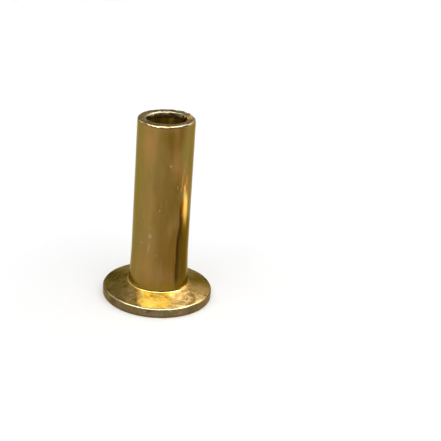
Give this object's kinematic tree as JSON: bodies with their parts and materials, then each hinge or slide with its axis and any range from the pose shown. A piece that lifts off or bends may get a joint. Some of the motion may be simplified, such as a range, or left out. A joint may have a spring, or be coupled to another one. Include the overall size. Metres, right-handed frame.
{
  "type": "flat-head tubular rivet",
  "caption": "Flat-head tubular rivet: a plain tube open at one end, upset at the other into a thin round head with a coned underside; its stepped hole goes right through.",
  "frame": {"origin": "middle of the head's flat face, on the surface that the rivet stands on", "axes": "+Z along the shank, from the head's flat face to the open end; the part is round about Z, so X and Y are free"},
  "size_m": [0.0098, 0.0098, 0.0169],
  "materials": {
    "yellow_zinc_steel": "satin steel with yellow-chromated zinc plating, cloudy olive, gold and brown"
  },
  "bodies": {
    "root": {"rivet": "yellow_zinc_steel"}
  },
  "joints": []
}
